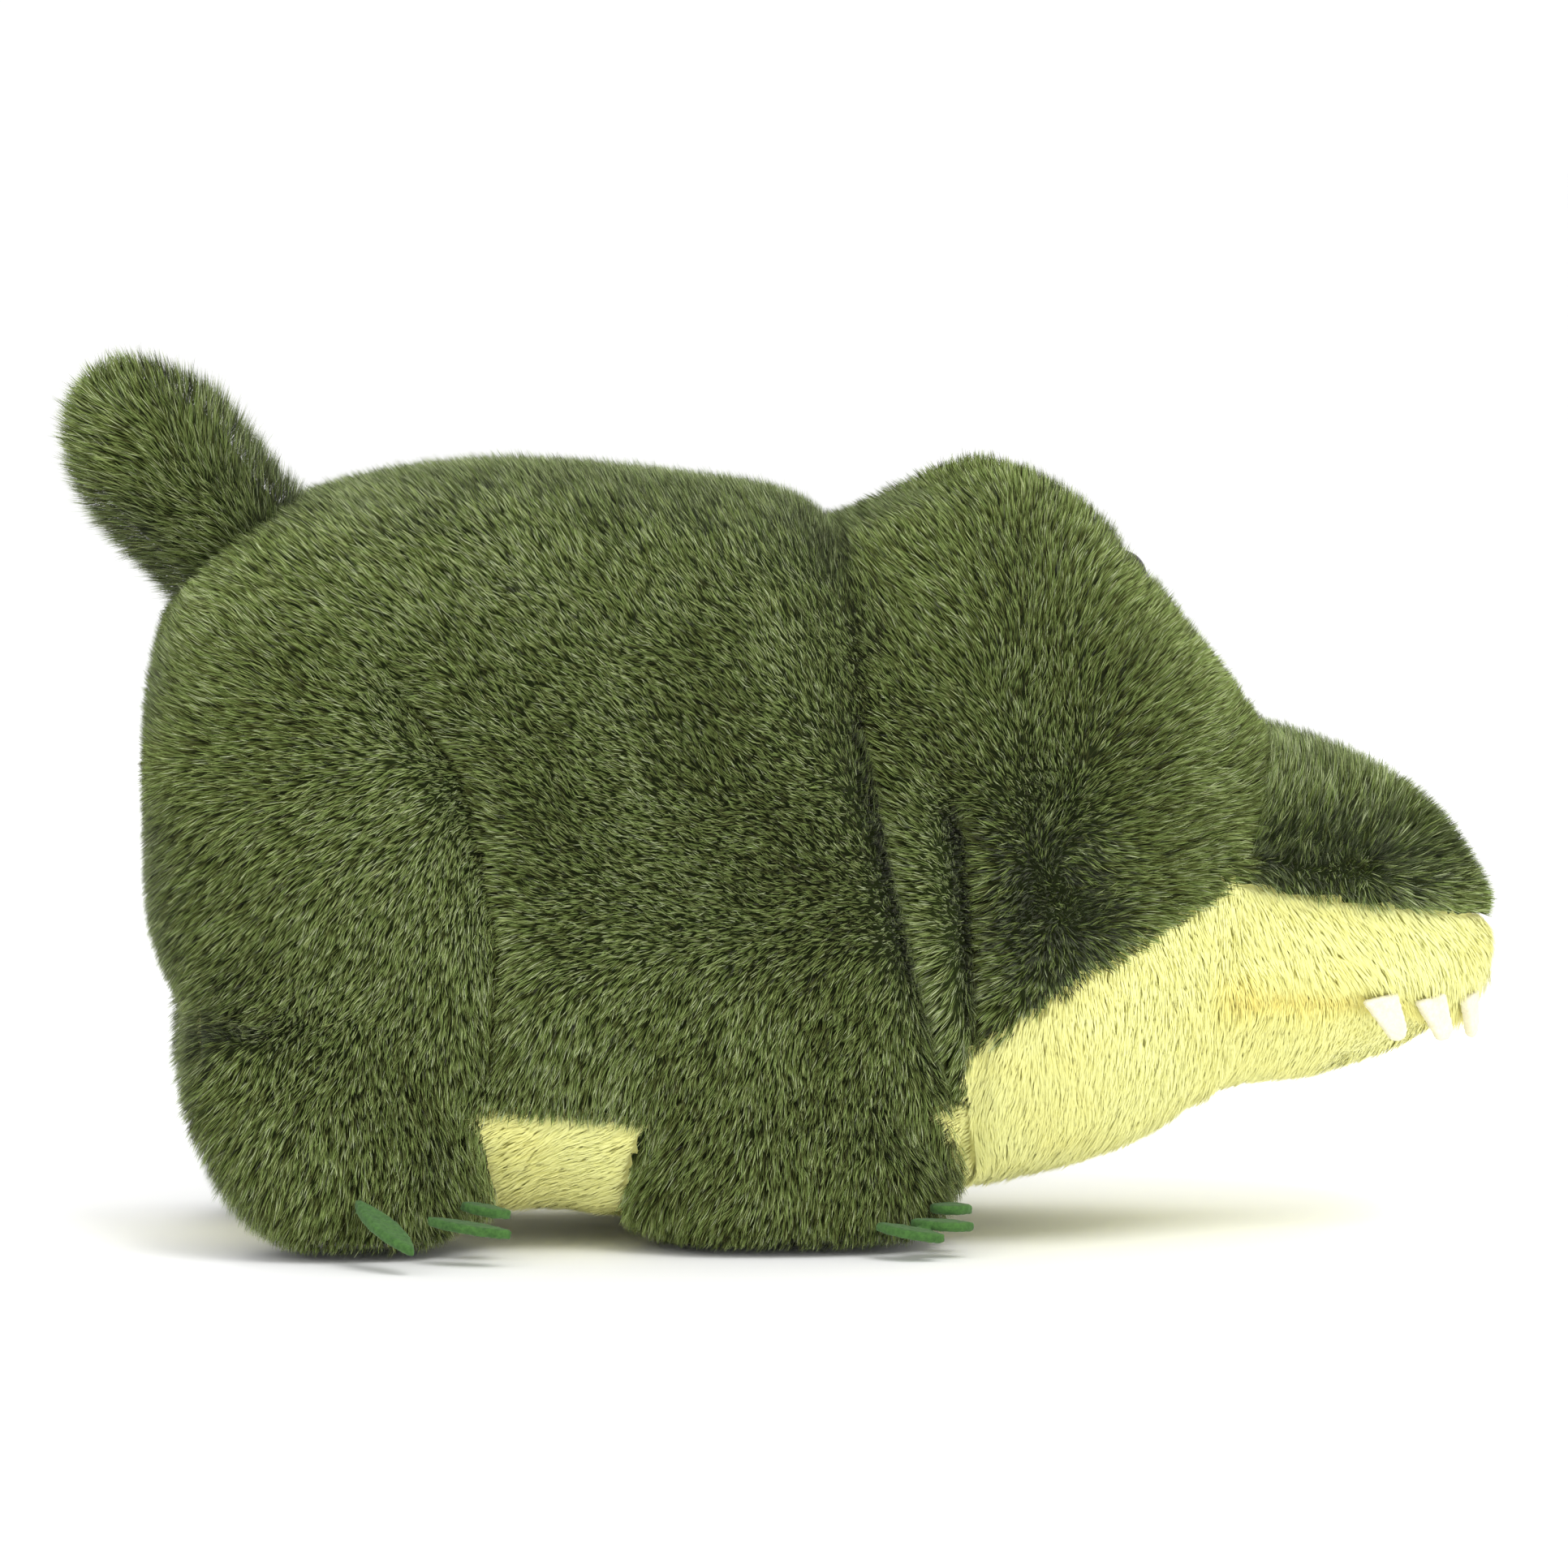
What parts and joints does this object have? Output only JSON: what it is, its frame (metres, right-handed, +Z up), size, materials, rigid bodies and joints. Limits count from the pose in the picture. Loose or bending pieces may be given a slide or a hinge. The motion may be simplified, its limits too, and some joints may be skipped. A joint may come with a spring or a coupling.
{
  "type": "plush toy reptile",
  "caption": "Stuffed long-snouted reptile toy in green fur with a yellow belly and jaw, felt claws and teeth, short feet, nodding head and wagging tail.",
  "frame": {"origin": "centre of the bounding box in plan, at the flat soles of the feet", "axes": "+X forward along the snout, +Y to the toy's left, +Z up"},
  "size_m": [0.3284, 0.1592, 0.2003],
  "materials": {
    "green_fur": "plush fur fabric, fine olive-green pile about 10 mm long",
    "yellow_fur": "plush fur fabric, fine pale-yellow pile about 8 mm long",
    "claw_felt": "dark green craft felt",
    "tooth_felt": "cream craft felt",
    "fibrefill": "white polyester fibre",
    "eye_plastic": "polished black",
    "washer_plastic": "moulded natural plastic"
  },
  "bodies": {
    "body": {"body_side_left": "green_fur", "body_side_right": "green_fur", "belly_panel": "yellow_fur", "body_stuffing": "fibrefill", "neck_gusset_left": "green_fur", "neck_gusset_right": "green_fur", "hind_leg_left": "green_fur", "hind_leg_right": "green_fur", "front_leg_left": "green_fur", "front_leg_right": "green_fur", "hind_leg_stuffing_left": "fibrefill", "hind_leg_stuffing_right": "fibrefill", "front_leg_stuffing_left": "fibrefill", "front_leg_stuffing_right": "fibrefill", "hind_sole_left": "green_fur", "hind_sole_right": "green_fur", "front_sole_left": "green_fur", "front_sole_right": "green_fur", "hind_claws_left": "claw_felt", "hind_claws_right": "claw_felt", "front_claws_left": "claw_felt", "front_claws_right": "claw_felt"},
    "head": {"head_side_left": "green_fur", "head_side_right": "green_fur", "crown_gusset": "green_fur", "throat_panel": "yellow_fur", "head_stuffing": "fibrefill", "snout_top": "green_fur", "upper_lip": "yellow_fur", "lower_jaw": "yellow_fur", "snout_stuffing": "fibrefill", "teeth_left": "tooth_felt", "teeth_right": "tooth_felt", "eye_left": "eye_plastic", "eye_right": "eye_plastic", "eye_washer_left": "washer_plastic", "eye_washer_right": "washer_plastic"},
    "tail": {"tail_side_left": "green_fur", "tail_side_right": "green_fur", "tail_stuffing": "fibrefill"}
  },
  "joints": [
    {"name": "head_nod", "type": "hinge", "parent": "body", "child": "head", "pos_m": [0.033, 0, 0.095], "axis": [0, 1, 0], "range_deg": [-5, 5], "stiffness_Nm_per_rad": 1.5, "springref_deg": -1.43},
    {"name": "tail_wag", "type": "hinge", "parent": "body", "child": "tail", "pos_m": [-0.1245, 0, 0.159], "axis": [0.7547, 0, 0.6561], "range_deg": [-18, 18], "stiffness_Nm_per_rad": 0.05}
  ]
}
